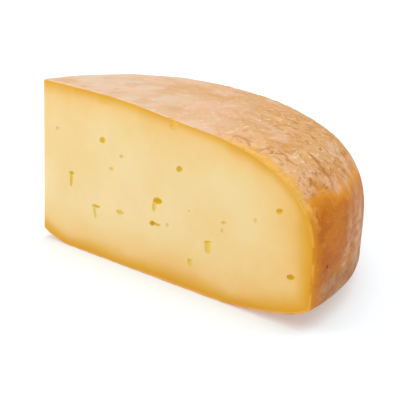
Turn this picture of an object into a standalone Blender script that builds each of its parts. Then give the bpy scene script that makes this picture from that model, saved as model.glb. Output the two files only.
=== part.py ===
"""A quarter wheel of raclette cheese: one solid wedge with a domed top, rounded rim and two plain knife cuts.

Metres, +Z up. The wheel's centre is the wedge's upright edge at low X and low Y. One cut faces -Y, the other
-X, and the origin is at the middle of the underside of the box round the wedge.
"""

import math
import random

import bmesh
import bpy
from mathutils import Matrix, Vector

# Wheel: its radius, its height at the centre, and how far the domed top falls and flares towards the rim.
WHEEL_RADIUS = 0.145
CENTRE_HEIGHT = 0.0744
DOME_FALL = 0.0190
DOME_FLARE = 0.0031

# Rounded edges of the wheel: reach in from the rim, height taken up, and squareness (2 is an ellipse).
TOP_EDGE_REACH = 0.0560
TOP_EDGE_DROP = 0.0387
TOP_EDGE_SQUARENESS = 3.13
FOOT_EDGE_REACH = 0.0482
FOOT_EDGE_HEIGHT = 0.0099
FOOT_EDGE_SQUARENESS = 1.72

# The tip of the wedge: the underside curls up towards the wheel's centre.
TIP_REACH = 0.0189
TIP_LIFT = 0.0039

# Shallow hollows that shelf and cloth have pressed into the rind: how deep they go, the height over which
# they fade out above the flat underside, and three waves, each with its length, direction and phase.
DENT_DEPTH = 0.0006
DENT_FADE_HEIGHT = 0.014
DENT_WAVES = (
    (0.047, (1.0, 0.0, 0.6), 1.3),
    (0.035, (-0.4, 1.0, 0.0), 4.1),
    (0.061, (1.0, 0.8, 1.0), 2.2),
)

# Fineness of the skin.
SWEEP_STEPS = 44
UNDERSIDE_STEPS = 8
FOOT_EDGE_STEPS = 8
TOP_EDGE_STEPS = 20
TOP_STEPS = 14

# Eyes on the cut that faces -Y: distance from the tip, height, width, tall, slant in degrees. Millimetres.
FRONT_EYES = (
    (37.6, 53.0, 3.6, 2.6, 0),
    (18.4, 32.4, 2.8, 5.2, 0),
    (80.7, 49.3, 3.2, 2.6, 0),
    (69.8, 33.4, 5.6, 3.8, -4),
    (34.5, 22.6, 5.4, 2.2, 0),
    (48.6, 23.7, 4.8, 2.0, 0),
    (68.4, 23.7, 5.8, 2.3, -7),
    (77.0, 65.4, 3.6, 3.2, 0),
    (128.5, 43.5, 3.2, 2.4, 0),
    (96.8, 21.4, 4.0, 5.2, 0),
    (135.7, 19.8, 3.4, 2.1, 0),
)
MM = 0.001
EYE_DEPTH_SHARE = 0.45
EYE_ROUNDNESS = 2

# Eyes on the cut that faces -X, scattered like those in front.
SIDE_EYE_COUNT = 11
SIDE_EYE_WIDTHS = (0.0028, 0.0056)
SIDE_EYE_FLATNESS = (0.45, 1.1)
SIDE_EYE_SPACING = 0.013
SIDE_EYE_MARGIN = 0.012
SIDE_EYE_SEED = 11

# Points closer than this are one point, and a cut's points lie this close to its plane.
WELD = 1e-6

PASTE_COLOUR = (0.88, 0.66, 0.32, 1.0)
PASTE_ROUGHNESS = 0.45
RIND_COLOUR = (0.62, 0.31, 0.12, 1.0)
RIND_ROUGHNESS = 0.6


def clear_scene():
    for obj in list(bpy.data.objects):
        bpy.data.objects.remove(obj, do_unlink=True)


def food_material(name, colour, roughness):
    """A plain Principled material for food, with no metal in it."""
    material = bpy.data.materials.new(name)
    material.use_nodes = True
    shader = material.node_tree.nodes["Principled BSDF"]
    shader.inputs["Base Color"].default_value = colour
    shader.inputs["Roughness"].default_value = roughness
    shader.inputs["Metallic"].default_value = 0.0
    material.diffuse_color = colour
    return material


def top_height(radius):
    """Height of the domed top: centre height less a squared fall, plus a fourth-power flare."""
    share = radius / WHEEL_RADIUS
    return CENTRE_HEIGHT - DOME_FALL * share**2 + DOME_FLARE * share**4


def underside_height(radius):
    """Flat, but for the curl at the tip."""
    return TIP_LIFT * max(1.0 - radius / TIP_REACH, 0.0) ** 2


def skin_height(radius):
    """Height of the top skin over any radius, with the rounded rim taken off the dome."""
    share = max(radius - (WHEEL_RADIUS - TOP_EDGE_REACH), 0.0) / TOP_EDGE_REACH
    left = max(1.0 - share**TOP_EDGE_SQUARENESS, 0.0) ** (1.0 / TOP_EDGE_SQUARENESS)
    return top_height(radius) - TOP_EDGE_DROP * (1.0 - left)


def wheel_profile():
    """(radius, height) points from the middle of the underside, round the rim, to the middle of the top."""
    points = []
    foot_start = WHEEL_RADIUS - FOOT_EDGE_REACH
    for i in range(UNDERSIDE_STEPS + 1):
        radius = TIP_REACH * i / UNDERSIDE_STEPS
        points.append((radius, underside_height(radius)))
    for i in range(1, UNDERSIDE_STEPS):
        radius = TIP_REACH + (foot_start - TIP_REACH) * i / UNDERSIDE_STEPS
        points.append((radius, 0.0))
    for i in range(FOOT_EDGE_STEPS + 1):
        angle = 0.5 * math.pi * i / FOOT_EDGE_STEPS
        power = 2.0 / FOOT_EDGE_SQUARENESS
        radius = foot_start + FOOT_EDGE_REACH * math.sin(angle) ** power
        points.append((radius, FOOT_EDGE_HEIGHT * (1.0 - math.cos(angle) ** power)))
    for i in range(TOP_EDGE_STEPS + 1):
        angle = 0.5 * math.pi * i / TOP_EDGE_STEPS
        power = 2.0 / TOP_EDGE_SQUARENESS
        radius = WHEEL_RADIUS - TOP_EDGE_REACH * (1.0 - max(math.cos(angle), 0.0) ** power)
        drop = TOP_EDGE_DROP * (1.0 - math.sin(angle) ** power)
        points.append((radius, top_height(radius) - drop))
    top_start = WHEEL_RADIUS - TOP_EDGE_REACH
    for i in range(1, TOP_STEPS + 1):
        radius = top_start * (1.0 - i / TOP_STEPS)
        points.append((radius, top_height(radius)))
    return points


def dent_at(place):
    """How deep the rind is pressed in here: the mean of the waves, from nothing to the full depth, none below."""
    waves = [
        math.sin(2.0 * math.pi * place.dot(Vector(direction)) / length + phase)
        for length, direction, phase in DENT_WAVES
    ]
    mean = sum(waves) / len(waves)
    fade = min(place.z / DENT_FADE_HEIGHT, 1.0)
    return DENT_DEPTH * (0.5 - 0.5 * mean) * fade * fade * (3.0 - 2.0 * fade)


def sweep_wedge():
    """The profile swept through a quarter turn, closed by the two cuts."""
    mesh = bmesh.new()
    profile = wheel_profile()
    rows = []
    for step in range(SWEEP_STEPS + 1):
        angle = 0.5 * math.pi * step / SWEEP_STEPS
        along = Vector((math.cos(angle), math.sin(angle), 0.0))
        row = [mesh.verts.new((along.x * radius, along.y * radius, height)) for radius, height in profile]
        rows.append(row)
    for near, far in zip(rows, rows[1:]):
        for i in range(len(profile) - 1):
            mesh.faces.new((near[i], far[i], far[i + 1], near[i + 1]))
    for cut_outline in (rows[0], rows[-1]):
        mesh.faces.new(cut_outline)
    bmesh.ops.remove_doubles(mesh, verts=mesh.verts, dist=WELD)
    bmesh.ops.recalc_face_normals(mesh, faces=mesh.faces)
    return mesh


def press_dents(mesh):
    """Moves the rind inwards by the dents, keeping each point of a cut in its plane."""
    mesh.normal_update()
    moves = []
    for vert in mesh.verts:
        rind = [face.normal * face.calc_area() for face in vert.link_faces if len(face.verts) <= 4]
        outward = sum(rind, Vector())
        if abs(vert.co.y) < WELD:
            outward.y = 0.0
        if abs(vert.co.x) < WELD:
            outward.x = 0.0
        moves.append((vert, -outward.normalized() * dent_at(vert.co)))
    for vert, move in moves:
        vert.co += move


def eye_cutter(mesh, centre, across, up, depth, width, tall, slant):
    """One egg-shaped tool that stands half out of a cut face and leaves an eye in it."""
    turn = Matrix.Rotation(math.radians(slant), 3, depth)
    axes = Matrix((turn @ across * width * 0.5, depth * EYE_DEPTH_SHARE * width, turn @ up * tall * 0.5))
    place = axes.transposed().to_4x4()
    place.translation = centre
    bmesh.ops.create_icosphere(mesh, subdivisions=EYE_ROUNDNESS, radius=1.0, matrix=place)


def side_eye_places():
    """Seeded (distance from the tip, height, width, tall) of the side eyes, kept apart and clear of the rind."""
    draw = random.Random(SIDE_EYE_SEED)
    places = []
    while len(places) < SIDE_EYE_COUNT:
        along = draw.uniform(SIDE_EYE_MARGIN, WHEEL_RADIUS - SIDE_EYE_MARGIN)
        height = draw.uniform(SIDE_EYE_MARGIN, CENTRE_HEIGHT - SIDE_EYE_MARGIN)
        width = draw.uniform(*SIDE_EYE_WIDTHS)
        tall = width * draw.uniform(*SIDE_EYE_FLATNESS)
        apart = all(math.hypot(along - a, height - h) > SIDE_EYE_SPACING for a, h, _, _ in places)
        if apart and height < skin_height(along) - SIDE_EYE_MARGIN:
            places.append((along, height, width, tall))
    return places


def make_eye_tools():
    """All the eye tools in one object, kept out of the render."""
    mesh = bmesh.new()
    up = Vector((0.0, 0.0, 1.0))
    x_axis = Vector((1.0, 0.0, 0.0))
    y_axis = Vector((0.0, 1.0, 0.0))
    for along, height, width, tall, slant in FRONT_EYES:
        centre = Vector((along * MM, 0.0, height * MM))
        eye_cutter(mesh, centre, x_axis, up, y_axis, width * MM, tall * MM, -slant)
    for along, height, width, tall in side_eye_places():
        eye_cutter(mesh, Vector((0.0, along, height)), y_axis, up, x_axis, width, tall, 0.0)
    bmesh.ops.recalc_face_normals(mesh, faces=mesh.faces)
    tools = add_object("eye_tools", mesh, [])
    tools.hide_render = True
    tools.display_type = "WIRE"
    return tools


def add_object(name, mesh, materials):
    data = bpy.data.meshes.new(name)
    mesh.to_mesh(data)
    mesh.free()
    for material in materials:
        data.materials.append(material)
    obj = bpy.data.objects.new(name, data)
    bpy.context.scene.collection.objects.link(obj)
    return obj


def make_cheese():
    mesh = sweep_wedge()
    for face in mesh.faces:
        face.material_index = 0 if len(face.verts) > 4 else 1
        face.smooth = len(face.verts) <= 4
    press_dents(mesh)
    bmesh.ops.triangulate(mesh, faces=[face for face in mesh.faces if len(face.verts) == 4])
    paste = food_material("paste", PASTE_COLOUR, PASTE_ROUGHNESS)
    rind = food_material("rind", RIND_COLOUR, RIND_ROUGHNESS)
    return add_object("cheese", mesh, [paste, rind])


def centre_on_origin(objects, model):
    """Shifts the meshes so that the model's box stands with the middle of its underside on the origin."""
    corners = [Vector(corner) for corner in model.bound_box]
    low = Vector([min(corner[i] for corner in corners) for i in range(3)])
    high = Vector([max(corner[i] for corner in corners) for i in range(3)])
    middle = (low + high) * 0.5
    for obj in objects:
        obj.data.transform(Matrix.Translation((-middle.x, -middle.y, -low.z)))


def main():
    clear_scene()
    cheese = make_cheese()
    eye_tools = make_eye_tools()
    bpy.context.view_layer.update()
    centre_on_origin([cheese, eye_tools], cheese)
    cut = cheese.modifiers.new("eyes", "BOOLEAN")
    cut.operation = "DIFFERENCE"
    cut.solver = "EXACT"
    cut.object = eye_tools


main()
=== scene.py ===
# %% [markdown]
# A quarter of a raclette wheel, from two cuts that meet at the wheel's centre. The solid of the packed
# model already has the true size and place. This lesson gives it a finer skin: a rind with creases and dry
# crust, two knife cuts with small eyes in them, and the deep yellow zone that every washed-rind cheese has
# under its rind.

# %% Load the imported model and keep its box
import math
import random

import bmesh
import bpy
import numpy as np
from mathutils import Matrix, Vector


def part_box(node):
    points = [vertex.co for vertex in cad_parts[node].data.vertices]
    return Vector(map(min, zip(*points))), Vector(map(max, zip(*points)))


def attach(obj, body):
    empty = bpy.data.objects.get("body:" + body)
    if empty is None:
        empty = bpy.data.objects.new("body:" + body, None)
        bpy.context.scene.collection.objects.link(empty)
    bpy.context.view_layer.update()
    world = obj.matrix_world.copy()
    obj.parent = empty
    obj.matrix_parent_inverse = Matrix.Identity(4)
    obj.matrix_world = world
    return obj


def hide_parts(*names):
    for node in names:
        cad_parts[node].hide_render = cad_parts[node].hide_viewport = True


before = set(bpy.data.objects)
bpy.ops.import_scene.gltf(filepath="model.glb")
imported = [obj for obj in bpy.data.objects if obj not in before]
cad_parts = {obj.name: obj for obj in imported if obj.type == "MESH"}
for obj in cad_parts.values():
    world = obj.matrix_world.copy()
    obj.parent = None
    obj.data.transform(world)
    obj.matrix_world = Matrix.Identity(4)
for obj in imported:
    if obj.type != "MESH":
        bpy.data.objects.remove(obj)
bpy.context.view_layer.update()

# %% [markdown]
# The wheel's centre is the upright edge where the two cuts meet, at the low X and low Y corner of the
# solid's box. All shapes below are worked out from that corner, in wheel coordinates: X runs along the
# front cut, Y along the side cut, Z up. One shift then takes every point into the model's own coordinates.

# %% Wheel coordinates
MM = 0.001
node_low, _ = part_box("cheese")
WHEEL_CENTRE = np.array([node_low[0], node_low[1], 0.0])
print("wheel centre:", WHEEL_CENTRE.round(4))

# %% [markdown]
# The camera comes first, because the looks are judged through it. It stands at the photograph's viewing
# angle: low, to the right of the front cut, with a portrait lens and a small roll. A camera's own axes are
# its right, its up and the way back from what it looks at, so a matrix with those three columns turns it
# exactly.

# %% The camera
CAMERA_TURN = math.radians(38.39)
CAMERA_RISE = math.radians(16.94)
CAMERA_ROLL = math.radians(-3.07)
CAMERA_DISTANCE = 0.3799
CAMERA_AIM = np.array([0.0573, 0.0435, 0.0222])
CAMERA_LENS = 74.6


def camera_axes(turn, rise, roll):
    """Columns right, up and back of a camera that is turned about Z, raised and rolled, in that order."""
    back = np.array([math.sin(turn) * math.cos(rise), -math.cos(turn) * math.cos(rise), math.sin(rise)])
    right = np.array([math.cos(turn), math.sin(turn), 0.0])
    up = np.cross(back, right)
    rolled_right = math.cos(roll) * right - math.sin(roll) * up
    rolled_up = math.sin(roll) * right + math.cos(roll) * up
    return np.stack([rolled_right, rolled_up, back], axis=1)


camera_turned = camera_axes(CAMERA_TURN, CAMERA_RISE, CAMERA_ROLL)
camera_place = WHEEL_CENTRE + CAMERA_AIM + CAMERA_DISTANCE * camera_turned[:, 2]
camera_data = bpy.data.cameras.new("camera")
camera_data.lens = CAMERA_LENS
camera_data.sensor_width = 36.0
camera_data.clip_start = 0.01
camera = bpy.data.objects.new("camera", camera_data)
bpy.context.scene.collection.objects.link(camera)
camera.matrix_world = Matrix.Translation(Vector(camera_place)) @ Matrix(camera_turned.tolist()).to_4x4()
bpy.context.scene.camera = camera
print("camera at", camera_place.round(3))

# %% [markdown]
# The wheel is turned from one profile, as on a lathe. The profile runs from the middle of the underside,
# round the rim, to the middle of the top. Its two rounded edges are quarter superellipses: like an ellipse,
# but with a power that makes the corner fuller or slacker. The dome falls with the square of the radius.
# Points an even step apart along each part keep the faces of the rind about square.

# %% The wheel's profile
WHEEL_RADIUS = 0.145
CENTRE_HEIGHT = 0.0744
DOME_FALL, DOME_FLARE = 0.0190, 0.0031
TOP_EDGE_REACH, TOP_EDGE_DROP, TOP_EDGE_SQUARENESS = 0.0560, 0.0387, 3.13
FOOT_EDGE_REACH, FOOT_EDGE_HEIGHT, FOOT_EDGE_SQUARENESS = 0.0482, 0.0099, 1.72
TIP_REACH, TIP_LIFT = 0.0189, 0.0039
PROFILE_SAMPLES = 600


def top_height(radius):
    """Centre height, less fall times share^2, plus flare times share^4, for a share of the radius."""
    share = radius / WHEEL_RADIUS
    return CENTRE_HEIGHT - DOME_FALL * share**2 + DOME_FLARE * share**4


def lengths(line):
    """Length of the line as far as each of its points, starting at 0."""
    return np.concatenate([[0.0], np.cumsum(np.hypot(*np.diff(line, axis=0).T))])


def even_steps(line, spacing):
    """The same line with points an even spacing apart along its length."""
    length = lengths(line)
    count = max(int(round(length[-1] / spacing)), 2)
    even = np.linspace(0.0, length[-1], count + 1)
    return np.stack([np.interp(even, length, line[:, axis]) for axis in (0, 1)], axis=1)


def wheel_profile(underside_step, rim_step, dome_step):
    """Rows of (radius, height): flat underside with a curl at the tip, foot edge, top edge, dome.

    A rounded edge reaches out by sine^(2 / squareness) and up by 1 less cosine^(2 / squareness).
    """
    quarter = np.linspace(0.0, 0.5 * math.pi, PROFILE_SAMPLES)
    cosine, sine = np.clip(np.cos(quarter), 0.0, 1.0), np.sin(quarter)
    foot_start, top_start = WHEEL_RADIUS - FOOT_EDGE_REACH, WHEEL_RADIUS - TOP_EDGE_REACH
    under = np.linspace(0.0, foot_start, PROFILE_SAMPLES)
    under = np.stack([under, TIP_LIFT * np.clip(1.0 - under / TIP_REACH, 0.0, None) ** 2], axis=1)
    power = 2.0 / FOOT_EDGE_SQUARENESS
    radius = foot_start + FOOT_EDGE_REACH * sine**power
    foot = np.stack([radius, FOOT_EDGE_HEIGHT * (1.0 - cosine**power)], axis=1)
    power = 2.0 / TOP_EDGE_SQUARENESS
    radius = top_start + TOP_EDGE_REACH * cosine**power
    edge = np.stack([radius, top_height(radius) - TOP_EDGE_DROP * (1.0 - sine**power)], axis=1)
    radius = np.linspace(top_start, 0.0, PROFILE_SAMPLES)
    dome = np.stack([radius, top_height(radius)], axis=1)
    edge = np.concatenate([foot[-1:], edge[edge[:, 1] > foot[-1, 1]]])
    steps = ((under, underside_step), (foot, rim_step), (edge, rim_step), (dome, dome_step))
    return np.concatenate([even_steps(part, step)[bool(start):] for start, (part, step) in enumerate(steps)])


def outward(profile):
    """Unit normals of the profile: its direction turned a quarter turn clockwise."""
    way = np.gradient(profile, axis=0)
    way /= np.linalg.norm(way, axis=1, keepdims=True)
    return np.stack([way[:, 1], -way[:, 0]], axis=1)


profile = wheel_profile(3.5 * MM, 0.8 * MM, 1.3 * MM)
profile_out = outward(profile)
print("profile points:", len(profile))

# %% [markdown]
# Irregular natural surfaces need a smooth random field. Blender has noise textures for materials, but
# relief that should show in the mesh is worked out here: a sum of cosine waves with one wavelength and
# random directions. Where such a field crosses zero it draws thin wandering lines, which is just what
# creases in a rind look like. The seed fixes the waves, so the same rind comes out each time.


# %% A smooth random field
def soft_field(points, size, seed, waves=28, stretch=(1.0, 1.0, 1.0)):
    """Sum of cosine waves of about the given length in random directions, with a spread of about one."""
    draw = np.random.default_rng(seed)
    ways = draw.normal(size=(waves, 3))
    ways /= np.linalg.norm(ways, axis=1, keepdims=True)
    ways *= 2.0 * math.pi / (size * draw.uniform(0.7, 1.5, size=(waves, 1)))
    ways /= np.array(stretch)
    start = draw.uniform(0.0, 2.0 * math.pi, waves)
    total = np.zeros(points.shape[:-1])
    for way, offset in zip(ways, start):
        total += np.cos(points @ way + offset)
    return total * math.sqrt(2.0 / waves)


def soft_step(value, low, high):
    """0 at low, 1 at high, and between them the S curve share^2 (3 - 2 share)."""
    share = np.clip((value - low) / (high - low), 0.0, 1.0)
    return share * share * (3.0 - 2.0 * share)


# %% [markdown]
# The rind is the profile swept through a quarter turn: a surface of two numbers, the place along the
# profile and the angle. The angles are close together at both cuts, where the edge gets its rounding.
# Three things then push the surface inwards, never out, so that it stays inside the solid: the shallow
# dents that the solid has too, fine creases, and the rounding where the knife left the rind.

# %% Sweep the rind
RIND_STEP = 0.9 * MM
EDGE_DISTANCES = np.array([0.0, 0.08, 0.18, 0.32, 0.5, 0.75, 1.05, 1.45, 2.0]) * MM
quarter_length = 0.5 * math.pi * WHEEL_RADIUS
middle_count = int((quarter_length - 2 * EDGE_DISTANCES[-1]) / RIND_STEP)
middle_distances = np.linspace(EDGE_DISTANCES[-1], quarter_length - EDGE_DISTANCES[-1], middle_count)
distances = np.concatenate([EDGE_DISTANCES[:-1], middle_distances, quarter_length - EDGE_DISTANCES[-2::-1]])
angles = distances / WHEEL_RADIUS


def sweep(values, heights):
    """A grid of points: each (radius, height) row turned to each angle."""
    x = values[:, None] * np.cos(angles)
    y = values[:, None] * np.sin(angles)
    return np.stack([x, y, np.broadcast_to(heights[:, None], x.shape)], axis=-1)


rind_grid = sweep(profile[:, 0], profile[:, 1])
rind_out = sweep(profile_out[:, 0], profile_out[:, 1])
print("rind grid:", rind_grid.shape[:2])

# %% [markdown]
# A wheel that has lain on boards for months is never quite round. The solid's dents are three crossed
# waves of a few centimetres, and the same formula gives them to the finer skin. They fade at the foot, so
# that the cheese stands flat.

# %% The dents of the solid
DENT_DEPTH, DENT_FADE_HEIGHT = 0.0006, 0.014
DENT_WAVES = (  # length in metres, direction, start
    (0.047, (1.0, 0.0, 0.6), 1.3),
    (0.035, (-0.4, 1.0, 0.0), 4.1),
    (0.061, (1.0, 0.8, 1.0), 2.2),
)
waves = [
    np.sin(2.0 * math.pi * (rind_grid @ np.array(way)) / length + start) for length, way, start in DENT_WAVES
]
dent = DENT_DEPTH * (0.5 - 0.5 * np.mean(waves, axis=0)) * soft_step(rind_grid[..., 2], 0.0, DENT_FADE_HEIGHT)
print("dents, mm:", (dent.min() / MM).round(2), "to", (dent.max() / MM).round(2))

# %% [markdown]
# Creases: the top is crossed by a net of fine wrinkles, deepest near the shoulder, where the wheel was
# turned and washed most. They run mostly along Y. The rim is smoother. Each crease is a thin line along the
# zero of a random field that is itself bent by another, and a slow field lets creases come and go. A bank
# of pushed-up crust stands on both sides. The whole top is sunk a little first, which leaves the banks
# room inside the solid.

# %% Creases in the rind
CREASE_DEPTH, BANK_HEIGHT = 0.60 * MM, 0.36 * MM
LUMP_HEIGHT, TOP_SINK = 0.07 * MM, 0.24 * MM
CREASE_STRETCH = (1.0, 2.3, 1.0)
BANK_WIDTH = 2.6


def top_zones(points):
    """How far each point is on the top (not the rim), and on its outer part: 0 to 1 each."""
    radius = np.hypot(points[..., 0], points[..., 1])
    return soft_step(points[..., 2], 0.0465, 0.0495), soft_step(radius, 0.088, 0.116)


def crease_lines(points, size, width, seed):
    """Broken lines where a bent random field crosses zero, and the banks beside them.

    A line is exp(-(field / width)^2). Its bank is the same with BANK_WIDTH times the width, less the line.
    """
    bend = np.stack([soft_field(points, 2.2 * size, seed + axis) for axis in (1, 2, 3)], axis=-1)
    field = soft_field(points + bend * size * 0.25, size, seed, stretch=CREASE_STRETCH)
    whole = soft_step(soft_field(points, 0.9 * size, seed + 4), -0.8, 0.5)
    line = np.exp(-((field / width) ** 2))
    return np.stack([line, np.exp(-((field / (BANK_WIDTH * width)) ** 2)) - line]) * whole


def crease_amounts(points):
    """Long, short and fine creases and their banks: strong on the outer top, faint near the centre."""
    on_top, outer = top_zones(points)
    front = soft_step(points[..., 1], 0.110, 0.050)
    patchy = soft_step(soft_field(points, 0.030, 5), -1.1 - front, 0.5 - front)
    long_lines = crease_lines(points, 0.017, 0.22, 21) * (0.10 + 0.75 * patchy)
    short_lines = crease_lines(points, 0.0095, 0.28, 31) * patchy
    fine_lines = crease_lines(points, 0.0052, 0.36, 71) * 0.85 * patchy * outer
    lines = np.maximum(np.maximum(long_lines, short_lines * 0.85), fine_lines)
    return lines * (on_top * (0.10 + 0.90 * outer) * (0.35 + 0.65 * front) + 0.04)


on_top, outer = top_zones(rind_grid)
crease, bank = crease_amounts(rind_grid)
lumps = soft_field(rind_grid, 0.0055, 41, stretch=CREASE_STRETCH) * on_top * (0.3 + 0.7 * outer)
relief = CREASE_DEPTH * crease - BANK_HEIGHT * bank + LUMP_HEIGHT * lumps + TOP_SINK * on_top
relief = np.clip(relief, 0.0, None)
print("creased share of the rind:", (crease > 0.4).mean().round(3))

# %% [markdown]
# Where the knife left the cheese the rind's edge is not sharp. It is rounded over by half a millimetre,
# and by twice that on the shoulder, where the crust has worn off beside the cut. The rounding pushes each
# point inwards by what a quarter circle of that radius leaves out. The two ends of the profile lie on the
# wheel's axis, where all angles meet, so their points are put back together in one place each.

# %% Push the rind inwards and round its cut edges
ROUNDING = 0.5 * MM
SHOULDER_ROUNDING = 1.0 * MM
INSET = 0.05 * MM
on_shoulder = soft_step(profile[:, 0], 0.095, 0.120) * soft_step(profile[:, 1], 0.030, 0.046)
rounding_radius = (ROUNDING + (SHOULDER_ROUNDING - ROUNDING) * on_shoulder)[:, None]
from_cut = np.minimum(rind_grid[..., 0], rind_grid[..., 1])
beyond = np.clip(rounding_radius - from_cut, 0.0, rounding_radius)
rounding = rounding_radius - np.sqrt(rounding_radius**2 - beyond**2)
inset = INSET * soft_step(rind_grid[..., 2], 0.0, 3.0 * MM)
push = inset + dent + relief * soft_step(from_cut, -1.0 * MM, 1.5 * MM) + rounding
rind_points = rind_grid - rind_out * push[..., None]
rind_points[:, 0, 1] = 0.0
rind_points[:, -1, 0] = 0.0
rind_points[[0, -1], :, :2] = 0.0
rind_points[[0, -1], :, 2] = rind_points[[0, -1], :, 2].mean(axis=1, keepdims=True)
print("deepest push, mm:", (push.max() / MM).round(2))

# %% [markdown]
# Each cut is a sheet of rings. The outer ring is the rind's own edge with the upright edge at the wheel's
# centre added, and each further ring is a smaller copy, drawn towards a point in the middle of the paste.
# The rings are close together near the rind. A wire or knife leaves the paste slightly wavy, so the sheet
# dips inwards a little.

# %% The two cuts
RING_SHARES = np.concatenate([[0.0, 0.004, 0.012, 0.025, 0.045], np.linspace(0.07, 1.0, 20)])
MIDDLE_ALONG, MIDDLE_UP = 0.46 * WHEEL_RADIUS, 0.43 * CENTRE_HEIGHT
CUT_WAVE = 0.06 * MM
UPRIGHT_POINTS = 62
upright = np.linspace(1.0, 0.0, UPRIGHT_POINTS)[1:-1, None]


def cut_sheet(rim_line, along_axis, in_axis, seed):
    """Rings from the outline to the middle point. The dip is a random field that fades to 0 at the edge."""
    top, bottom = rim_line[-1], rim_line[0]
    outline = np.concatenate([rim_line, bottom + (top - bottom) * upright])
    middle = np.zeros(3)
    middle[along_axis], middle[2] = MIDDLE_ALONG, MIDDLE_UP
    rings = outline[None] + (middle - outline)[None] * RING_SHARES[:, None, None]
    dip = 0.5 + 0.5 * np.tanh(soft_field(rings, 0.045, seed, stretch=(1.0, 1.0, 1.6)))
    rings[..., in_axis] += CUT_WAVE * dip * soft_step(RING_SHARES, 0.0, 0.12)[:, None]
    return rings


front_rings = cut_sheet(rind_points[:, 0], along_axis=0, in_axis=1, seed=51)
side_rings = cut_sheet(rind_points[:, -1], along_axis=1, in_axis=0, seed=61)
print("rings:", front_rings.shape[:2])

# %% [markdown]
# A grid of points becomes a mesh with one face for each cell. The three sheets share their edge points, so
# merging points that coincide welds them into one closed body. The upright edge is rounded last: a point
# within the rounding of both cuts is drawn onto a small quarter circle.


# %% Join the sheets
def grid_faces(rows, columns, start, closed_columns=False):
    """Corner numbers of a grid's four-sided faces, row by row, wrapping round if its columns are closed."""
    index = start + np.arange(rows * columns).reshape(rows, columns)
    if closed_columns:
        index = np.concatenate([index, index[:, :1]], axis=1)
    corners = (index[:-1, :-1], index[:-1, 1:], index[1:, 1:], index[1:, :-1])
    return np.stack(corners, axis=-1).reshape(-1, 4)


def round_upright_edge(points):
    """Points in the corner beyond a circle of radius ROUNDING are drawn back onto it, towards its centre."""
    offset = points[:, :2] - ROUNDING
    distance = np.hypot(offset[:, 0], offset[:, 1])
    corner = (offset < 0.0).all(axis=1) & (distance > ROUNDING)
    points[corner, :2] = ROUNDING + offset[corner] * (ROUNDING / distance[corner])[:, None]
    return points


sheets = [rind_points, front_rings, side_rings]
starts = np.cumsum([0] + [sheet.shape[0] * sheet.shape[1] for sheet in sheets])
points = round_upright_edge(np.concatenate([sheet.reshape(-1, 3) for sheet in sheets]))
rind_faces = grid_faces(*rind_points.shape[:2], starts[0])
front_faces = grid_faces(*front_rings.shape[:2], starts[1], closed_columns=True)
side_faces = grid_faces(*side_rings.shape[:2], starts[2], closed_columns=True)[:, ::-1]
faces = np.concatenate([rind_faces, front_faces, side_faces])
is_rind = np.arange(len(faces)) < len(rind_faces)
print("points", len(points), "faces", len(faces))

# %% [markdown]
# Two helpers turn such arrays into an object. The first shifts the points from wheel coordinates to the
# model's. The second welds the sheets and makes all faces look outwards, which the Boolean and the light
# both need.


# %% One closed body
def mesh_object(name, places, corners, materials=(), material_of_face=None):
    """A mesh from an array of points in wheel coordinates and an array of face corners."""
    data = bpy.data.meshes.new(name)
    data.from_pydata((places + WHEEL_CENTRE).tolist(), [], corners.tolist())
    for material in materials:
        data.materials.append(material)
    if material_of_face is not None:
        data.polygons.foreach_set("material_index", material_of_face.astype(np.int32))
    data.update()
    obj = bpy.data.objects.new(name, data)
    bpy.context.scene.collection.objects.link(obj)
    return obj


def weld(obj, distance):
    """Merges points that coincide, drops faces left without area, and turns all faces outwards."""
    mesh = bmesh.new()
    mesh.from_mesh(obj.data)
    bmesh.ops.remove_doubles(mesh, verts=mesh.verts, dist=distance)
    bmesh.ops.dissolve_degenerate(mesh, edges=mesh.edges, dist=distance)
    bmesh.ops.recalc_face_normals(mesh, faces=mesh.faces)
    open_edges = sum(not edge.is_manifold for edge in mesh.edges)
    mesh.to_mesh(obj.data)
    mesh.free()
    return open_edges


paste_material = bpy.data.materials.new("paste")
rind_material = bpy.data.materials.new("rind")
cheese = mesh_object("cheese_quarter", points, faces, (paste_material, rind_material), is_rind)
print("edges without two faces:", weld(cheese, 1e-6))

# %% [markdown]
# Eyes are gas bubbles in the paste, cut through by the knife. Each is one lumpy egg or a few that overlap:
# a round hole, a bar with a slot below it, a leaf. An egg is a surface of two angles, and a slot is a
# squarer egg. An egg's centre stands outside the cut, so that it leaves a bowl with sloping walls. Eyes
# could be painted on as dark dots, but real bowls catch the light on their lower wall.

# %% The eyes of the front cut
FRONT_HOLES = (  # along, height, width, tall and deep in millimetres, slant in degrees
    (37.6, 53.0, 4.0, 2.7, 1.3, 15), (18.3, 34.6, 3.8, 1.8, 1.4, 4), (80.6, 49.3, 3.3, 2.6, 1.6, 18),
    (69.6, 33.6, 5.4, 2.7, 1.9, 7), (34.5, 22.9, 5.3, 1.5, 1.1, 4), (48.6, 23.7, 5.0, 2.1, 0.8, 3),
    (67.2, 23.4, 3.5, 2.2, 1.8, 12), (76.8, 66.0, 4.6, 3.8, 0.9, 12), (75.6, 69.0, 5.2, 1.9, 0.9, -6),
    (128.6, 43.5, 3.1, 2.3, 1.6, 16), (135.6, 19.9, 3.9, 2.2, 1.7, 10), (96.8, 23.1, 4.4, 1.3, 1.0, 14),
    (104.2, 33.0, 3.3, 1.5, 0.5, 9), (48.9, 48.1, 2.9, 1.5, 0.5, 7), (43.0, 41.6, 3.4, 1.7, 0.5, 6),
    (9.1, 53.1, 2.7, 1.9, 0.45, 12), (86.4, 33.3, 1.0, 0.8, 0.3, 0), (118.2, 37.3, 2.0, 1.8, 0.4, 0),
    (75.4, 24.9, 2.0, 1.8, 0.35, 0), (88.3, 13.1, 3.3, 1.4, 0.6, 12),
)
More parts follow.
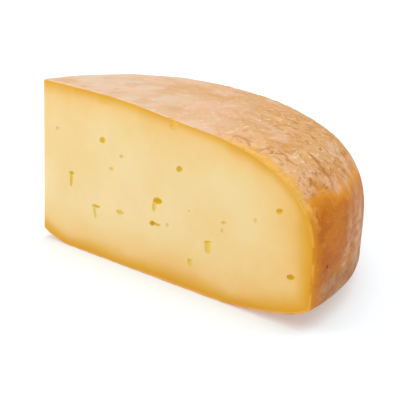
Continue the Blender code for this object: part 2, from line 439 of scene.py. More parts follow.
FRONT_SLOTS = (
    (18.5, 31.5, 2.5, 5.8, 0.7, -2), (70.7, 33.7, 3.0, 2.3, 2.6, 6), (68.0, 30.9, 2.6, 3.8, 0.6, -4),
    (33.6, 19.9, 1.7, 5.0, 0.6, 16), (70.3, 23.6, 3.6, 1.2, 0.9, 0), (96.8, 20.9, 3.7, 4.7, 0.7, 0),
    (103.3, 29.6, 1.2, 1.8, 0.4, 0), (88.5, 11.8, 2.7, 2.6, 0.5, 0),
)
EGG_ROWS, EGG_COLUMNS = 15, 22
LIP = 0.8
LUMPS = 0.1


def egg(centre, half_sizes, slant, along_axis, seed, squareness):
    """A closed egg: a grid of two angles whose radius swells with low waves, slanted in the plane of the cut.

    Its outline is a superellipse: |sine|^squareness across and |cosine|^squareness up, so 1 is an ellipse.
    """
    tilt = np.linspace(0.0, math.pi, EGG_ROWS)[:, None]
    turn = np.linspace(0.0, 2.0 * math.pi, EGG_COLUMNS + 1)[None, :-1]
    shift = np.random.default_rng(seed).uniform(0.0, 2.0 * math.pi, 2)
    swell = 1.0 + LUMPS * np.sin(tilt) * (np.sin(2 * turn + shift[0]) + 0.6 * np.sin(3 * turn + shift[1]))
    across = np.clip(np.sin(tilt), 0.0, 1.0) ** squareness
    upwards = np.sign(np.cos(tilt)) * np.abs(np.cos(tilt)) ** squareness
    shape = np.stack([across * np.cos(turn), across * np.sin(turn), upwards + 0.0 * turn], axis=-1)
    shape = (shape * swell[..., None]).reshape(-1, 3) * half_sizes
    along, up = shape[:, along_axis].copy(), shape[:, 2].copy()
    shape[:, along_axis] = along * math.cos(slant) - up * math.sin(slant)
    shape[:, 2] = along * math.sin(slant) + up * math.cos(slant)
    return centre + shape


def eye_tools(name, eyes, along_axis, seed, squareness=1.0):
    """All eggs of one cut as one mesh, from rows like those of FRONT_HOLES.

    An egg's centre stands outside the cut by LIP times the depth, so that the eye is a bowl with sloping
    walls. Its half sizes are wider by 1 / sqrt(1 - (LIP / (1 + LIP))^2), which gives the mouth the size
    that is asked.
    """
    eggs, corners = [], []
    wider = 1.0 / math.sqrt(1.0 - (LIP / (1.0 + LIP)) ** 2)
    for number, (along, height, width, tall, deep, slant) in enumerate(eyes):
        centre, half = np.full(3, -LIP * deep), np.full(3, (1.0 + LIP) * deep)
        centre[along_axis], centre[2] = along, height
        half[along_axis], half[2] = 0.5 * width * wider, 0.5 * tall * wider
        eggs.append(egg(centre * MM, half * MM, math.radians(slant), along_axis, seed + number, squareness))
        corners.append(grid_faces(EGG_ROWS, EGG_COLUMNS, number * len(eggs[0]), closed_columns=True))
    return mesh_object(name, np.concatenate(eggs), np.concatenate(corners), (paste_material,))


print("front eggs:", len(FRONT_HOLES) + len(FRONT_SLOTS))

# %% [markdown]
# The side cut has eyes of the same sizes, drawn by lot. A draw is kept only if it is clear of the rind and
# of the eyes drawn before it, which is how bubbles share out a paste. Every third eye gets a slot below
# it, and a few get a faint neighbour. The seed fixes the draws.

# %% Scatter the eyes of the side cut
SIDE_EYE_COUNT, SIDE_EYE_SPACING, SIDE_EYE_MARGIN, SIDE_EYE_SEED = 11, 13.0, 12.0, 11
SIDE_EYE_WIDTHS, SIDE_EYE_FLATNESS, SIDE_EYE_DEPTH = (2.8, 5.6), (0.45, 1.1), 0.45


def skin_height(radius):
    """Height of the top of the wheel at this radius, with the rounded edge."""
    share = max(radius - (WHEEL_RADIUS - TOP_EDGE_REACH), 0.0) / TOP_EDGE_REACH
    left = max(1.0 - share**TOP_EDGE_SQUARENESS, 0.0) ** (1.0 / TOP_EDGE_SQUARENESS)
    return top_height(radius) - TOP_EDGE_DROP * (1.0 - left)


draw = random.Random(SIDE_EYE_SEED)
side_eyes = []
while len(side_eyes) < SIDE_EYE_COUNT:
    along = draw.uniform(SIDE_EYE_MARGIN, WHEEL_RADIUS / MM - SIDE_EYE_MARGIN)
    height = draw.uniform(SIDE_EYE_MARGIN, CENTRE_HEIGHT / MM - SIDE_EYE_MARGIN)
    width = draw.uniform(*SIDE_EYE_WIDTHS)
    tall = width * draw.uniform(*SIDE_EYE_FLATNESS)
    clear = all(math.hypot(along - other[0], height - other[1]) > SIDE_EYE_SPACING for other in side_eyes)
    if clear and height < skin_height(along * MM) / MM - SIDE_EYE_MARGIN:
        side_eyes.append((along, height, width, tall, SIDE_EYE_DEPTH * width, 0.0))
slots = [(along, height - 0.7 * tall, 0.4 * width, 0.9 * width, 0.2 * width, 8.0)
         for along, height, width, tall, _, _ in side_eyes[::3]]
faint = [(along + 17.0, height + 6.0, 2.0, 1.4, 0.5, 0.0) for along, height, _, _, _, _ in side_eyes[:4]]
print("side eyes:", [(round(eye[0]), round(eye[1])) for eye in side_eyes])

# %% [markdown]
# A Boolean takes the eggs away. The exact solver gives clean mouths, but it wants a tool whose parts don't
# cross each other, so holes and slots are separate tools, cut one after the other.

# %% Cut the eyes
SLOT_SQUARENESS = 0.72


def cut_away(obj, tool):
    """Takes the tool out of the object with an exact Boolean, keeps the result and removes the tool."""
    weld(tool, 1e-7)
    modifier = obj.modifiers.new("cut", "BOOLEAN")
    modifier.operation = "DIFFERENCE"
    modifier.solver = "EXACT"
    modifier.object = tool
    bpy.context.view_layer.update()
    result = bpy.data.meshes.new_from_object(obj.evaluated_get(bpy.context.evaluated_depsgraph_get()))
    obj.modifiers.clear()
    obj.data = result
    bpy.data.objects.remove(tool)


cut_away(cheese, eye_tools("front_holes", FRONT_HOLES, 0, 200))
cut_away(cheese, eye_tools("front_slots", FRONT_SLOTS, 0, 300, SLOT_SQUARENESS))
cut_away(cheese, eye_tools("side_holes", side_eyes + faint, 1, 400))
cut_away(cheese, eye_tools("side_slots", slots, 1, 500, SLOT_SQUARENESS))
print("triangles after the cuts:", sum(len(face.vertices) - 2 for face in cheese.data.polygons))

# %% [markdown]
# The materials need to know things that no texture coordinate tells them. For every point the lesson
# stores how far it lies under the rind, from the nearer cut and from the wheel's axis, how far it is round
# the rim and up the rim when the rind is laid out flat, and how creased the rind is there. The golden zone
# under a real rind isn't equally wide: it is wider low on the rim and along the foot, and narrower under
# the dome, so the distance under the rind is divided by its width there.


# %% Measure the finished points
def point_places(obj):
    """All points of the mesh in wheel coordinates."""
    flat = np.empty(len(obj.data.vertices) * 3, np.float32)
    obj.data.vertices.foreach_get("co", flat)
    return flat.reshape(-1, 3).astype(np.float64) - WHEEL_CENTRE


def distance_to_line(rows, line):
    """Least distance from each (radius, height) row to the points of a line, 20000 rows at a time."""
    best = np.full(len(rows), 1.0)
    for start in range(0, len(rows), 20000):
        part = rows[start:start + 20000]
        gap = np.hypot(part[:, None, 0] - line[None, :, 0], part[:, None, 1] - line[None, :, 1])
        best[start:start + 20000] = gap.min(axis=1)
    return best


def length_along(rows, line, centre):
    """Length along the line as far as each (radius, height) row, matched by the angle about a centre."""
    line_turn, row_turn = (
        np.arctan2(part[:, 1] - centre[1], part[:, 0] - centre[0]) for part in (line, rows)
    )
    return np.interp(row_turn, line_turn, lengths(line))


def store(obj, name, values):
    """Keeps one number for each point as a named attribute."""
    attribute = obj.data.attributes.new(name, "FLOAT", "POINT")
    attribute.data.foreach_set("value", values.astype(np.float32))


SECTION_CENTRE = (0.080, 0.030)
places = point_places(cheese)
from_axis = np.hypot(places[:, 0], places[:, 1])
in_section = np.stack([from_axis, places[:, 2]], axis=1)
fine_profile = wheel_profile(0.5 * MM, 0.5 * MM, 0.5 * MM)
under_rind = distance_to_line(in_section, fine_profile)
height = places[:, 2]
golden_width = 1.0 + 0.45 * soft_step(from_axis, 0.100, 0.138) * soft_step(height, 0.050, 0.036)
golden_width *= 1.0 - 0.15 * soft_step(from_axis, 0.060, 0.090) * soft_step(height, 0.040, 0.052)
golden_patch = 0.50 * np.exp(-(((from_axis - 0.076) / 0.018) ** 2))
along_foot = soft_step(height, 0.022, 0.010) * soft_step(from_axis, 0.112, 0.094)
golden_width *= 1.0 + (0.17 + golden_patch) * along_foot
from_cut = np.clip(np.minimum(places[:, 0], places[:, 1]), 0.0, None)
on_upright_edge = np.maximum(places[:, 0], places[:, 1]) < 1.2 * ROUNDING
round_rim = np.arctan2(places[:, 1], places[:, 0]) * WHEEL_RADIUS
crease, bank = crease_amounts(places)
store(cheese, "under_rind", under_rind / golden_width)
store(cheese, "from_cut", np.where(on_upright_edge, 0.0, from_cut))
store(cheese, "from_axis", from_axis)
store(cheese, "round_rim", round_rim)
store(cheese, "up_rim", length_along(in_section, fine_profile, SECTION_CENTRE))
store(cheese, "crease", crease)
store(cheese, "bank", bank)
print("deepest paste, mm:", (under_rind.max() / MM).round(1))

# %% [markdown]
# A washed rind dries in patches: where brine ran down the rim and dried, a pale bloom of salt and yeast
# stays in upright streaks. The first rows are the patches that show beside the front cut, and more follow
# round the rim by lot. Each patch is a soft oval on the unrolled rim: distance along it, height, and lean.

# %% Bloom patches on the rim
SHOWN_BLOOM = (  # along the rim, height, half width, half height in millimetres, lean, strength
    (33.5, 29.0, 3.6, 10.0, 0.35, 0.85), (27.5, 21.0, 4.0, 6.0, 0.2, 0.9), (49.0, 28.0, 10.0, 14.0, 0.15, 1.0),
    (40.0, 30.0, 5.0, 11.0, 0.3, 0.5), (12.0, 13.0, 9.0, 6.0, 0.0, 0.4), (22.0, 10.0, 9.0, 5.0, 0.0, 0.4),
)
BLOOM_COUNT, BLOOM_SEED = 30, 7
bloom_patches = list(SHOWN_BLOOM)
draw = random.Random(BLOOM_SEED)
while len(bloom_patches) < BLOOM_COUNT:
    along, height = draw.uniform(55.0, 220.0), draw.uniform(10.0, 34.0)
    half_width, half_height = draw.uniform(2.0, 6.0), draw.uniform(5.0, 13.0)
    lean, strength = draw.uniform(-0.3, 0.4), draw.uniform(0.4, 1.0)
    bloom_patches.append((along, height, half_width, half_height, lean, strength))

rim_along, rim_height = round_rim / MM, places[:, 2] / MM
bloom = np.zeros(len(places))
for along, height, half_width, half_height, lean, strength in bloom_patches:
    across = (rim_along - along - lean * (rim_height - height)) / half_width
    bloom = np.maximum(bloom, strength * np.exp(-across**2 - ((rim_height - height) / half_height) ** 2))
store(cheese, "bloom", bloom * (from_axis > 0.12))
print("bloom covers:", (bloom > 0.3).mean().round(3), "of the points")

# %% [markdown]
# Materials are built from nodes by a few small helpers: one adds a node and sets its sockets, others stand
# for one node each, so that a line of code reads like a line of painting instructions. Colours are given
# as they look on a display, and are turned into the linear colours that nodes work in.


# %% Helpers for nodes
def srgb(red, green, blue):
    """Display colour in 0 to 255 as the linear colour that nodes work in."""
    shares = np.array([red, green, blue]) / 255.0
    linear = np.where(shares <= 0.04045, shares / 12.92, ((shares + 0.055) / 1.055) ** 2.4)
    return (*linear.tolist(), 1.0)


def shades(table):
    """The same table of names with linear colours."""
    return {name: srgb(*colour) for name, colour in table.items()}


def set_sockets(tree, node, values):
    """Sets each socket, found by name or number, to a value, or joins it to another node's socket."""
    for socket, value in values.items():
        if isinstance(value, bpy.types.NodeSocket):
            tree.links.new(value, node.inputs[socket])
        else:
            node.inputs[socket].default_value = value
    return node


def add(tree, kind, values=None, **settings):
    """A node of that kind, with properties set by keyword and sockets by name or number."""
    node = tree.nodes.new(kind)
    for name, value in settings.items():
        setattr(node, name, value)
    return set_sockets(tree, node, values or {})


def maths(tree, operation, first, second=0.0, clamp=False):
    """One sum on two numbers."""
    node = add(tree, "ShaderNodeMath", {0: first, 1: second}, operation=operation, use_clamp=clamp)
    return node.outputs[0]


def times(tree, first, second, clamp=False):
    """The product of two numbers."""
    return maths(tree, "MULTIPLY", first, second, clamp)


def smooth(tree, value, low, high, to_low=0.0, to_high=1.0):
    """A smooth step of the value between low and high."""
    sockets = {"Value": value, "From Min": low, "From Max": high, "To Min": to_low, "To Max": to_high}
    return add(tree, "ShaderNodeMapRange", sockets, interpolation_type="SMOOTHSTEP").outputs["Result"]


def mix(tree, share, first, second, blend="MIX"):
    """The first colour with a share of the second."""
    node = add(tree, "ShaderNodeMix", {0: share, 6: first, 7: second}, data_type="RGBA", blend_type=blend)
    return node.outputs[2]


def lay(tree, colour, shade, mask, strength=1.0):
    """The colour with a shade laid over it where the mask is, at most as strong as asked."""
    share = mask if strength == 1.0 else times(tree, mask, strength)
    return mix(tree, share, colour, shade)


def ramp(tree, value, stops):
    """A colour ramp through (position, display colour) stops."""
    node = add(tree, "ShaderNodeValToRGB", {0: value})
    elements = node.color_ramp.elements
    while len(elements) < len(stops):
        elements.new(0.5)
    for element, (position, colour) in zip(elements, stops):
        element.position = position
        element.color = srgb(*colour)
    return node.outputs["Color"]


def axis_of(tree, place, axis):
    """One coordinate of a place."""
    return add(tree, "ShaderNodeSeparateXYZ", {"Vector": place}).outputs[axis]


def stretched(tree, place, scale):
    """The place with each axis scaled, so that a pattern on it is drawn out where the scale is small."""
    return add(tree, "ShaderNodeMapping", {"Vector": place, "Scale": scale}).outputs["Vector"]


print("helpers ready")

# %% [markdown]
# Effects that both the rind and the paste use are node groups with named sockets, made once: soft clouds,
# and a fine grain that gives a mask for colour and a height for the bump. Each material then places the
# group with its own values.


# %% The groups that both materials use
def new_group(name, inputs, outputs):
    """An empty shader node group with named sockets, its input node and its output node."""
    group = bpy.data.node_groups.new(name, "ShaderNodeTree")
    for label, kind in inputs:
        group.interface.new_socket(label, in_out="INPUT", socket_type=kind)
    for label, kind in outputs:
        group.interface.new_socket(label, in_out="OUTPUT", socket_type=kind)
    return group, group.nodes.new("NodeGroupInput"), group.nodes.new("NodeGroupOutput")


FLOAT, VECTOR = "NodeSocketFloat", "NodeSocketVector"
CLOUD_INPUTS = [("Place", VECTOR), ("Per metre", FLOAT), ("Low", FLOAT), ("High", FLOAT)]
clouds, source, result = new_group("clouds", CLOUD_INPUTS, [("Mask", FLOAT)])
noise = add(clouds, "ShaderNodeTexNoise", {
    "Vector": source.outputs["Place"], "Scale": source.outputs["Per metre"], "Detail": 3.0, "Roughness": 0.55,
})
cloud_step = smooth(clouds, noise.outputs["Fac"], source.outputs["Low"], source.outputs["High"])
clouds.links.new(cloud_step, result.inputs["Mask"])

GRAIN_INPUTS = [("Place", VECTOR), ("Per metre", FLOAT), ("Coverage", FLOAT)]
grain, source, result = new_group("grain", GRAIN_INPUTS, [("Mask", FLOAT), ("Height", FLOAT)])
noise = add(grain, "ShaderNodeTexNoise", {
    "Vector": source.outputs["Place"], "Scale": source.outputs["Per metre"], "Detail": 5.0, "Roughness": 0.65,
})
threshold = maths(grain, "SUBTRACT", 0.72, times(grain, source.outputs["Coverage"], 0.4))
grain_step = smooth(grain, noise.outputs["Fac"], threshold, maths(grain, "ADD", threshold, 0.1))
grain.links.new(grain_step, result.inputs["Mask"])
grain.links.new(noise.outputs["Fac"], result.inputs["Height"])


def use_group(tree, group, values):
    """The outputs of a node that uses the group, with its sockets set."""
    node = tree.nodes.new("ShaderNodeGroup")
    node.node_tree = group
    return set_sockets(tree, node, values).outputs


def cloud_mask(tree, place, per_metre, low=0.35, high=0.65):
    """Soft patches, about as many to the metre as asked."""
    return use_group(tree, clouds, {"Place": place, "Per metre": per_metre, "Low": low, "High": high})["Mask"]


def grain_of(tree, place, per_metre, coverage):
    """Fine grain, about as many grains to the metre as asked, with a mask that covers more or less."""
    return use_group(tree, grain, {"Place": place, "Per metre": per_metre, "Coverage": coverage})


def start_material(material):
    """The material's tree, its shader, and a function that reads an attribute as a number."""
    material.use_nodes = True
    tree = material.node_tree

    def attribute(name):
        return add(tree, "ShaderNodeAttribute", attribute_name=name).outputs["Fac"]

    return tree, tree.nodes["Principled BSDF"], attribute


def set_softness(shader, weight, radius, scale):
    """How much light enters the surface and comes out nearby, and how far it gets in red, green and blue."""
    shader.inputs["Subsurface Weight"].default_value = weight
    shader.inputs["Subsurface Radius"].default_value = radius
    shader.inputs["Subsurface Scale"].default_value = scale


print("groups:", clouds.name, grain.name)

# %% [markdown]
# The paste is pale yellow, and deeper and more golden near the rind, where it dries. Its colour is a ramp
# over the depth under the rind, in millimetres, and soft clouds shift the ramp and warm it here and there.
# The rind itself shows along the foot as a thin, paler line. The walls of the eyes are smooth, moist and
# golden. Their deep, saturated gold is also painted light, for light that scatters through the paste and
# glows inside each bowl. A point that lies inside the cut gets the colour of an eye.

# %% The colours of the paste
tree, shader, attribute = start_material(paste_material)
place = add(tree, "ShaderNodeTexCoord").outputs["Object"]
DEEPEST = 24.0
PASTE_COLOURS = (  # depth under the rind in millimetres, display colour
    (0.0, (226, 156, 8)), (1.2, (230, 170, 36)), (2.2, (233, 178, 62)), (3.2, (236, 185, 84)),
    (4.3, (240, 194, 108)), (5.4, (244, 201, 125)), (6.5, (246, 206, 135)), (8.0, (247, 209, 141)),
    (10.5, (247, 213, 148)), (15.0, (248, 217, 156)), (22.0, (248, 219, 162)),
)
shade = shades({
    "warm cast": (253, 246, 232), "golden cast": (255, 252, 244), "rind section": (236, 186, 112),
    "mouth": (240, 206, 104), "mouth by the rind": (242, 190, 88),
    "wall_and_glow": (251, 216, 40), "wall by the rind": (252, 186, 62),
})
depth = times(tree, attribute("under_rind"), 1.0 / MM)
depth = times(tree, depth, smooth(tree, cloud_mask(tree, place, 50.0), 0.0, 1.0, 0.9, 1.15))
depth_share = maths(tree, "DIVIDE", depth, DEEPEST)
colour = ramp(tree, depth_share, [(mm / DEEPEST, stop) for mm, stop in PASTE_COLOURS])
warm = mix(tree, 1.0, colour, shade["warm cast"], "MULTIPLY")
colour = mix(tree, cloud_mask(tree, place, 28.0), colour, warm)
golden = mix(tree, 1.0, colour, shade["golden cast"], "MULTIPLY")
colour = mix(tree, smooth(tree, attribute("from_axis"), 0.085, 0.135), colour, golden)
at_foot = smooth(tree, axis_of(tree, place, "Z"), 0.012, 0.006)
colour = lay(tree, colour, shade["rind section"], times(tree, smooth(tree, depth, 1.0, 0.4), at_foot))
into_eye = attribute("from_cut")
by_rind = smooth(tree, depth, 7.0, 3.0)
mouth = mix(tree, by_rind, shade["mouth"], shade["mouth by the rind"])
colour = lay(tree, colour, mouth, smooth(tree, into_eye, 0.00007, 0.00030))
# Partly painted light: the walls' deep gold stands for light that scatters through the paste and glows in the
# bowl.
wall_and_glow = mix(tree, by_rind, shade["wall_and_glow"], shade["wall by the rind"])
colour = lay(tree, colour, wall_and_glow, smooth(tree, into_eye, 0.0003, 0.0014))
tree.links.new(colour, shader.inputs["Base Color"])
print("paste nodes for colour:", len(tree.nodes))

# %% [markdown]
# Light enters the paste and leaves it again nearby, which makes it look soft, so the shader has subsurface
# scattering. The knife drags the paste a little, mostly upright, and that shows only as a faint bump.

# %% The surface of the paste
fine = grain_of(tree, place, 900.0, 0.3)
drag = grain_of(tree, stretched(tree, place, (1.0, 1.0, 0.35)), 140.0, 0.3)
height = maths(tree, "ADD", times(tree, fine["Height"], 0.25), drag["Height"])
bump = add(tree, "ShaderNodeBump", {"Height": height, "Strength": 0.22, "Distance": 0.0004})
tree.links.new(bump.outputs["Normal"], shader.inputs["Normal"])
tree.links.new(smooth(tree, drag["Height"], 0.3, 0.7, 0.42, 0.55), shader.inputs["Roughness"])
shader.inputs["Specular IOR Level"].default_value = 0.25
set_softness(shader, weight=0.35, radius=(1.0, 0.6, 0.25), scale=0.004)
print("paste nodes:", len(tree.nodes))

# %% [markdown]
# The rind has zones. The top is dry and pinkish, the crust ends at the shoulder in a golden line, and the
# rim below is smooth and orange-brown, rubbed and greyer low down. Each zone is a mask over a height or a
# distance in metres. Clouds and grain move the height up and down a little, so that no border is a ruled
# line. Patterns on the top are drawn out along Y. Those on the rim use the unrolled rim, so that they
# don't smear where it curves.

# %% Masks of the rind
tree, shader, attribute = start_material(rind_material)
place = add(tree, "ShaderNodeTexCoord").outputs["Object"]
along_y = stretched(tree, place, (1.0, 0.5, 1.0))
rim_across = times(tree, attribute("round_rim"), 0.42)
rim_place = add(tree, "ShaderNodeCombineXYZ", {"X": rim_across, "Z": attribute("up_rim")}).outputs["Vector"]
from_cut, from_axis = attribute("from_cut"), attribute("from_axis")
level = axis_of(tree, place, "Z")
level = maths(tree, "ADD", level, smooth(tree, cloud_mask(tree, place, 120.0), 0.0, 1.0, -0.0014, 0.0014))
level = maths(tree, "ADD", level, smooth(tree, from_cut, 0.015, 0.055, 0.0, 0.0022))
rough = grain_of(tree, rim_place, 210.0, 0.4)["Height"]
broken_level = maths(tree, "ADD", level, smooth(tree, rough, 0.35, 0.65, -0.0009, 0.0009))
top_mask = smooth(tree, broken_level, 0.0466, 0.0504)
low_mask = times(tree, smooth(tree, level, 0.0225, 0.0165), smooth(tree, from_cut, 0.003, 0.014))
outer_mask = smooth(tree, from_axis, 0.040, 0.118)
print("mask nodes:", len(tree.nodes))

# %% [markdown]
# The colours of the rind, as they look on a display. Washed rinds are easily painted too red and their
# yellows too green, so each one was matched to the photograph under the same light.

# %% The rind's colours
shade = shades({
    "inner top": (227, 198, 169), "outer top": (226, 167, 98), "streak": (220, 168, 116),
    "ochre": (216, 150, 66), "pink": (236, 190, 156), "dry ring": (238, 202, 170),
    "beside a cut": (250, 192, 130), "crust": (255, 218, 176), "bank": (255, 218, 172),
    "low ochre": (222, 152, 72), "low pink": (238, 176, 124), "crease": (194, 126, 40),
    "rim": (204, 118, 18), "blotch": (190, 100, 12), "lit rim by a cut": (214, 124, 10),
    "mottle": (228, 158, 84), "smudge": (176, 90, 26), "rubbed": (162, 100, 48),
    "rubbed pale": (178, 126, 80), "golden line": (236, 156, 44), "bloom": (217, 178, 136),
    "worn edge": (250, 190, 86), "worn": (247, 184, 92), "rim strip": (220, 140, 16),
    "top edge and highlight": (246, 212, 174), "rim edge and highlight": (246, 184, 78), "edge of the foot": (242, 196, 126),
    "pit shadow": (128, 60, 8),
})
print("rind colours:", len(shade))

# %% [markdown]
# The top is beige and turns more orange outwards. Over that lie ochre streaks and patches, pink patches, a
# paler dry ring beside the cut, flecks of pale crust that are partly painted highlights, the banks and,
# last, ochre in the creases that is partly the rind's own colour and partly painted shade.

# %% The top
streaks = cloud_mask(tree, along_y, 110.0, 0.46, 0.62)
patches = cloud_mask(tree, along_y, 46.0, 0.46, 0.60)
patch_share = smooth(tree, outer_mask, 0.0, 1.0, 0.35, 0.85)
pink = cloud_mask(tree, place, 62.0, 0.50, 0.60)
dry_ring = times(tree, smooth(tree, from_axis, 0.066, 0.084), smooth(tree, from_axis, 0.104, 0.088))
dry_place = times(tree, dry_ring, smooth(tree, from_cut, 0.032, 0.018))
beside_cut = times(tree, smooth(tree, from_cut, 0.026, 0.007), smooth(tree, outer_mask, 0.7, 1.0))
crust = grain_of(tree, along_y, 480.0, 0.42)
pale_fleck_and_highlight_share = times(tree, crust["Mask"], smooth(tree, outer_mask, 0.0, 1.0, 0.3, 0.8))
low_top = smooth(tree, level, 0.0580, 0.0500, 0.0, 0.8)
low_colour = mix(tree, pink, shade["low ochre"], shade["low pink"])
colour = mix(tree, outer_mask, shade["inner top"], shade["outer top"])
colour = lay(tree, colour, shade["streak"], streaks, 0.55)
colour = lay(tree, colour, shade["ochre"], times(tree, patches, patch_share))
colour = lay(tree, colour, shade["pink"], pink, 0.65)
colour = lay(tree, colour, shade["dry ring"], dry_place, 0.6)
colour = lay(tree, colour, shade["beside a cut"], beside_cut, 0.5)
# Pale crust flecks, partly the crust's own colour and partly painted highlights.
colour = lay(tree, colour, shade["crust"], pale_fleck_and_highlight_share)
colour = lay(tree, colour, shade["bank"], attribute("bank"), 0.8)
colour = lay(tree, colour, low_colour, low_top)
# Ochre in the creases: partly the rind's own colour, partly painted shade.
top_colour = lay(tree, colour, shade["crease"], times(tree, attribute("crease"), 1.1, clamp=True))
print("nodes with the top:", len(tree.nodes))

# %% [markdown]
# The rim is orange with darker blotches, a strip beside the cuts painted brighter, for light that falls
# there more strongly, a fine pale mottle and a few dark smudges. Low down it is rubbed and greyer. Under the
# crust runs the golden line. The bloom comes last and is broken up by flecks.

# %% The rim
blotches = cloud_mask(tree, rim_place, 75.0, 0.40, 0.62)
mottle = grain_of(tree, rim_place, 750.0, 0.40)
smudges = cloud_mask(tree, rim_place, 190.0, 0.52, 0.64)
rubbed = mix(tree, cloud_mask(tree, rim_place, 240.0, 0.42, 0.60), shade["rubbed"], shade["rubbed pale"])
fleck = cloud_mask(tree, rim_place, 330.0, 0.40, 0.58)
bloom_share = times(tree, attribute("bloom"), smooth(tree, fleck, 0.0, 1.0, 0.30, 0.85))
colour = mix(tree, blotches, shade["rim"], shade["blotch"])
# Painted light: the rim is painted brighter near the cuts, for light that falls there more strongly.
colour = lay(tree, colour, shade["lit rim by a cut"], smooth(tree, from_cut, 0.008, 0.002))
colour = lay(tree, colour, shade["mottle"], mottle["Mask"], 0.45)
colour = lay(tree, colour, shade["smudge"], smudges, 0.5)
colour = lay(tree, colour, rubbed, low_mask, 0.8)
colour = lay(tree, colour, shade["golden line"], smooth(tree, level, 0.0420, 0.0495))
rim_colour = lay(tree, colour, shade["bloom"], bloom_share)
print("nodes with the rim:", len(tree.nodes))

# %% [markdown]
# Beside the cuts the crust is worn away and the golden layer under it shows, widest on the shoulder. The
# rim has a thin golden strip there. The very edge, where the knife left a tiny rounding, has a pale line in
# places: partly the rind's paler section and partly a painted highlight along the rounding.

# %% Beside the cuts
shoulder = times(tree, smooth(tree, from_axis, 0.090, 0.118), smooth(tree, level, 0.0360, 0.0480))
worn_noise = smooth(tree, cloud_mask(tree, place, 160.0), 0.0, 1.0, -0.0015, 0.0015)
worn = smooth(tree, maths(tree, "ADD", from_cut, worn_noise), 0.0075, 0.0020)
worn_colour = mix(tree, smooth(tree, from_cut, 0.0010, 0.0050), shade["worn edge"], shade["worn"])
strip = times(tree, smooth(tree, from_cut, 0.0034, 0.0014), smooth(tree, level, 0.050, 0.040))
by_rim = smooth(tree, from_axis, 0.085, 0.115)
pale_edge_and_highlight = mix(tree, by_rim, shade["top edge and highlight"], shade["rim edge and highlight"])
pale_edge_and_highlight = lay(tree, pale_edge_and_highlight, shade["edge of the foot"], smooth(tree, level, 0.0060, 0.0020))
pale_edge_and_highlight_share = smooth(tree, cloud_mask(tree, place, 150.0, 0.42, 0.60), 0.0, 1.0, 0.15, 0.75)
colour = mix(tree, top_mask, rim_colour, top_colour)
colour = lay(tree, colour, worn_colour, times(tree, worn, shoulder))
colour = lay(tree, colour, shade["rim strip"], strip, 0.85)
# The pale edge line: partly the rind's paler section, partly a painted highlight along the rounding.
colour = lay(tree, colour, pale_edge_and_highlight, times(tree, smooth(tree, from_cut, 0.0011, 0.0004), pale_edge_and_highlight_share))
print("nodes with the edges:", len(tree.nodes))

# %% [markdown]
# A few pits are left where a bubble burst at the surface. The mesh has no hollow there, so each pit is a
# dark spot of painted shade. The bump follows the zones: strong and cracked on the outer top, faint on the
# rim. The dry crust is a little rougher than the rim. The rim reflects less, because a strong reflection
# would wash out its deep orange.

# %% Pits, bump and sheen
PIT_SHADOW_PLACES = (  # place and size in millimetres
    (144.6, 10.4, 23.7, 1.2), (98.0, 106.7, 30.0, 1.1), (60.0, 132.0, 22.0, 0.8), (52.4, 0.5, 0.6, 0.7),
)
# Painted shade: each pit is a dark spot, for the shade inside a hollow that the mesh does not have.
for x, y, z, size in PIT_SHADOW_PLACES:
    centre = tuple(WHEEL_CENTRE + np.array([x, y, z]) * MM)
    gap = add(tree, "ShaderNodeVectorMath", {0: place, 1: centre}, operation="DISTANCE").outputs["Value"]
    colour = lay(tree, colour, shade["pit shadow"], smooth(tree, gap, size * MM, 0.3 * size * MM))
tree.links.new(colour, shader.inputs["Base Color"])

crackle = grain_of(tree, along_y, 230.0, 0.4)
skin = grain_of(tree, rim_place, 420.0, 0.4)
crust_height = maths(tree, "ADD", crust["Height"], times(tree, crackle["Height"], 1.5))
height = add(tree, "ShaderNodeMix", {0: top_mask, 2: skin["Height"], 3: crust_height}).outputs[0]
strength = smooth(tree, times(tree, top_mask, outer_mask), 0.0, 1.0, 0.20, 0.85)
bump = add(tree, "ShaderNodeBump", {"Height": height, "Strength": strength, "Distance": 0.0010})
tree.links.new(bump.outputs["Normal"], shader.inputs["Normal"])
tree.links.new(smooth(tree, top_mask, 0.0, 1.0, 0.50, 0.60), shader.inputs["Roughness"])
tree.links.new(smooth(tree, top_mask, 0.0, 1.0, 0.07, 0.28), shader.inputs["Specular IOR Level"])
set_softness(shader, weight=0.12, radius=(1.0, 0.5, 0.2), scale=0.003)
print("rind nodes:", len(tree.nodes))

# %% [markdown]
# Shading: the skin is smooth, but the mouth of an eye is a sharp edge. Edges whose faces meet at a steep
# angle are marked sharp, and everything else is smooth. The finished piece then rides on the model's only
# body, and it takes the place of the plain solid.

# %% Shade the cheese and tie it to the model
SHARP_ANGLE = 38.0
cheese.data.shade_smooth()
cheese.data.set_sharp_from_angle(angle=math.radians(SHARP_ANGLE))
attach(cheese, "root")
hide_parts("cheese")
print("edges are sharp above", SHARP_ANGLE, "degrees")

# %% [markdown]
# The set is a studio table for goods on white: a pale table that glows a little, as if lit from beneath,
# so that it comes out white where nothing shades it and only the shadow close to the cheese shows. The
# cheese throws warm light on the table, so the table itself is slightly cool.

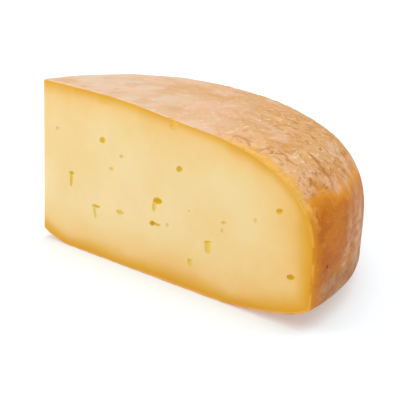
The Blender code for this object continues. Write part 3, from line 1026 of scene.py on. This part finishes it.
# %% The table
TABLE_REACH = 4.0
TABLE_COLOUR = (0.64, 0.74, 0.80, 1.0)
GLOW_COLOUR, GLOW_STRENGTH = (1.0, 0.935, 0.905, 1.0), 0.375
floor_corners = TABLE_REACH * np.array([[-1.0, -1.0, 0.0], [1.0, -1.0, 0.0], [1.0, 1.0, 0.0], [-1.0, 1.0, 0.0]])
floor_material = bpy.data.materials.new("floor")
floor = mesh_object("floor", floor_corners, np.array([[0, 1, 2, 3]]), (floor_material,))
floor_material.use_nodes = True
floor_shader = floor_material.node_tree.nodes["Principled BSDF"]
floor_shader.inputs["Base Color"].default_value = TABLE_COLOUR
floor_shader.inputs["Roughness"].default_value = 0.9
floor_shader.inputs["Specular IOR Level"].default_value = 0.1
floor_shader.inputs["Emission Color"].default_value = GLOW_COLOUR
floor_shader.inputs["Emission Strength"].default_value = GLOW_STRENGTH
print("table, metres across:", 2.0 * TABLE_REACH)

# %% [markdown]
# A broad soft light hangs overhead, a softbox stands to the front left, and a pale surround fills the
# shadows. The overhead light is a sun with a very wide disc, which gives the same soft light everywhere on
# the table. The Standard view keeps white white.

# %% Lights and surround
LIT_POINT = np.array([0.06, 0.04, 0.03])
OVERHEAD_PLACE, OVERHEAD_STRENGTH, OVERHEAD_ANGLE = (0.10, 0.32, 1.0), 1.8, math.radians(70.0)
SOFTBOX_PLACE, SOFTBOX_STRENGTH, SOFTBOX_SIZE = (-0.45, -0.60, 0.55), 2.9, 0.6
SURROUND_COLOUR, SURROUND_STRENGTH = (1.0, 1.0, 1.0, 1.0), 0.43


def add_light(name, kind, place, strength):
    """A light at a place in wheel coordinates that faces the middle of the cheese."""
    data = bpy.data.lights.new(name, kind)
    data.energy = strength
    light = bpy.data.objects.new(name, data)
    bpy.context.scene.collection.objects.link(light)
    light.location = Vector(WHEEL_CENTRE + np.array(place))
    way = Vector(LIT_POINT - np.array(place))
    light.rotation_euler = way.to_track_quat("-Z", "Y").to_euler()
    return data


overhead = add_light("overhead", "SUN", OVERHEAD_PLACE, OVERHEAD_STRENGTH)
overhead.angle = OVERHEAD_ANGLE
softbox = add_light("softbox", "AREA", SOFTBOX_PLACE, SOFTBOX_STRENGTH)
softbox.shape = "SQUARE"
softbox.size = SOFTBOX_SIZE

world = bpy.data.worlds.new("surround")
world.use_nodes = True
background = world.node_tree.nodes["Background"]
background.inputs["Color"].default_value = SURROUND_COLOUR
background.inputs["Strength"].default_value = SURROUND_STRENGTH
bpy.context.scene.world = world
bpy.context.scene.view_settings.view_transform = "Standard"
print("lights:", [light.name for light in bpy.data.lights])
